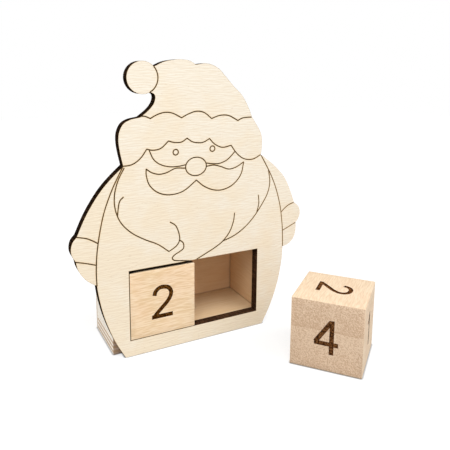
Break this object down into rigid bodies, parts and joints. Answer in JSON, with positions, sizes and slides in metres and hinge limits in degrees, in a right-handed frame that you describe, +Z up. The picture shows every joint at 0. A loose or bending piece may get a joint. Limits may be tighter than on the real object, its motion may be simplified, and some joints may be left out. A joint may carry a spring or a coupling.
{
  "type": "wooden advent calendar",
  "caption": "Plywood Father Christmas figure with a box behind its window for loose wooden date cubes, which are drawn out and turned to show the day.",
  "frame": {"origin": "middle of the base board's underside, on the table", "axes": "+Z is up, the front of the calendar faces -Y, and +X is to the right as seen from the front"},
  "size_m": [0.1648, 0.1215, 0.1684],
  "materials": {
    "panel_wood": "pale sanded plywood, laser cut and engraved",
    "box_wood": "pale plywood, sawn edges",
    "left_cube_wood": "sanded solid wood, engraved numbers",
    "right_cube_wood": "sanded solid wood, engraved numbers"
  },
  "bodies": {
    "calendar": {"front_panel": "panel_wood", "base_board": "box_wood", "left_wall": "box_wood", "right_wall": "box_wood", "top_board": "box_wood", "back_board": "box_wood"},
    "left_cube": {"left_date_cube": "left_cube_wood"},
    "right_cube": {"right_date_cube": "right_cube_wood"}
  },
  "joints": [
    {"name": "left_cube_slide", "type": "slide", "parent": "calendar", "child": "left_cube", "axis": [0, -1, 0], "range_m": [0, 0.045]},
    {"name": "right_cube_turn", "type": "hinge", "parent": "calendar", "child": "right_cube", "pos_m": [0.0636, -0.07324, 0], "axis": [0, 0, 1], "continuous": true}
  ]
}
